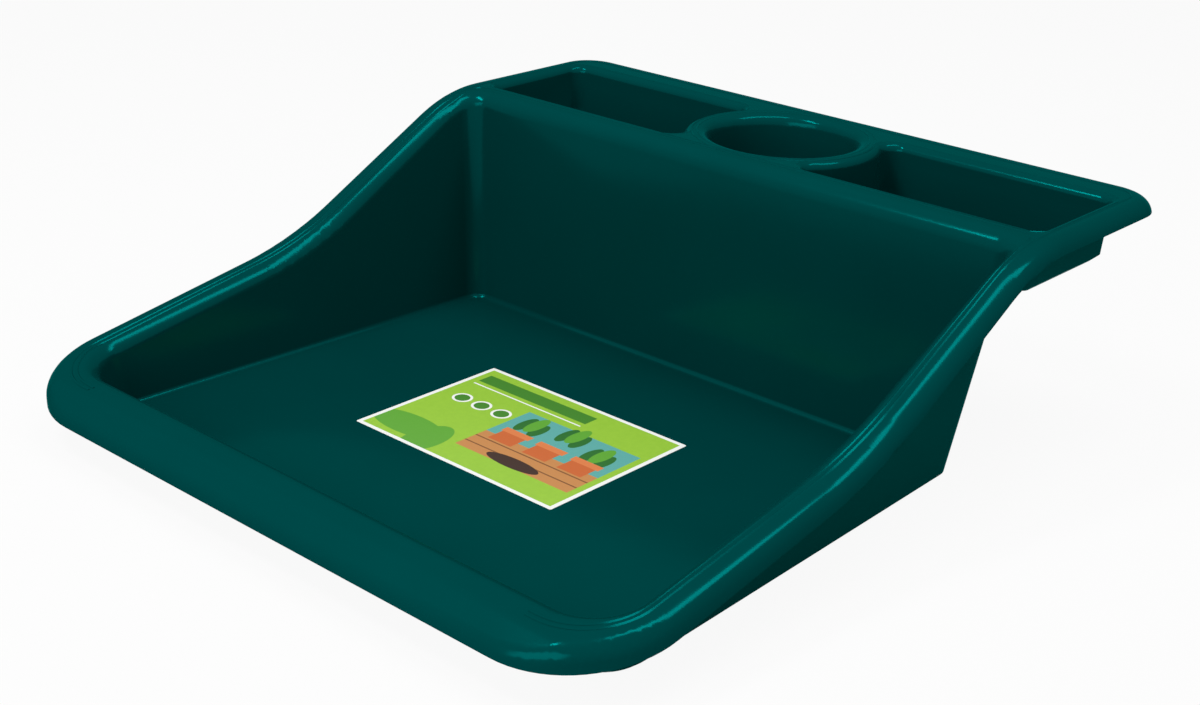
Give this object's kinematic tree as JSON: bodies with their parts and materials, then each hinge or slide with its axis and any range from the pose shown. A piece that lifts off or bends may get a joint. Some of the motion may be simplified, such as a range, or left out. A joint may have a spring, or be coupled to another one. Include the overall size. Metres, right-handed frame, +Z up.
{
  "type": "potting tray",
  "caption": "Moulded plastic potting tray with a low rolled front lip, side walls that rise to a high back, and a rear shelf with pockets and a cup.",
  "frame": {"origin": "under the middle of the tray's outline, on the surface that its base stands on", "axes": "+X to the right as the tray faces the user, +Y from the low front lip towards the rear shelf, +Z up"},
  "size_m": [0.55, 0.616, 0.1752],
  "materials": {
    "tray": "glossy moulded polypropylene, deep bluish green",
    "label": "printed self-adhesive film, light green with a white border"
  },
  "bodies": {
    "root": {"tray_moulding": "tray", "label": "label"}
  },
  "joints": []
}
